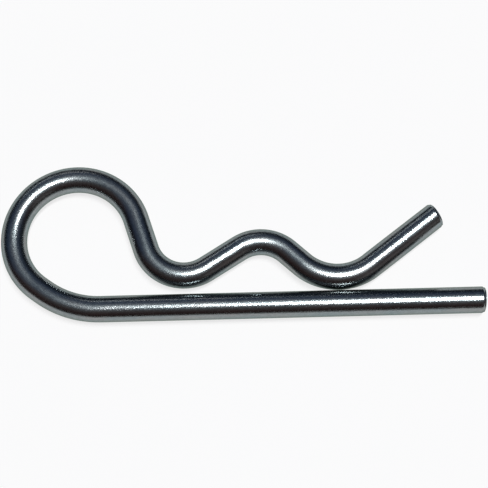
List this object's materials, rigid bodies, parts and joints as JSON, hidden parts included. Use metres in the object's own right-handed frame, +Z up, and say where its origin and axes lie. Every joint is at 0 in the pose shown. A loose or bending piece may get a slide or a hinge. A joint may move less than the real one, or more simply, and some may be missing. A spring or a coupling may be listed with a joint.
{
  "type": "hairpin cotter pin",
  "caption": "Hairpin cotter pin bent from one round spring wire: the straight leg goes through a shaft's cross hole and the humped leg springs over the shaft.",
  "frame": {"origin": "under the middle of the pin's outline, on the surface that it lies on", "axes": "+X along the straight leg towards its cut end, +Y across towards the sprung leg, +Z up from the surface; all the bends lie in the XY plane"},
  "size_m": [0.0728, 0.0246, 0.004],
  "materials": {
    "zinc_plated_wire": "gloss"
  },
  "bodies": {
    "root": {"cotter_pin": "zinc_plated_wire"}
  },
  "joints": []
}
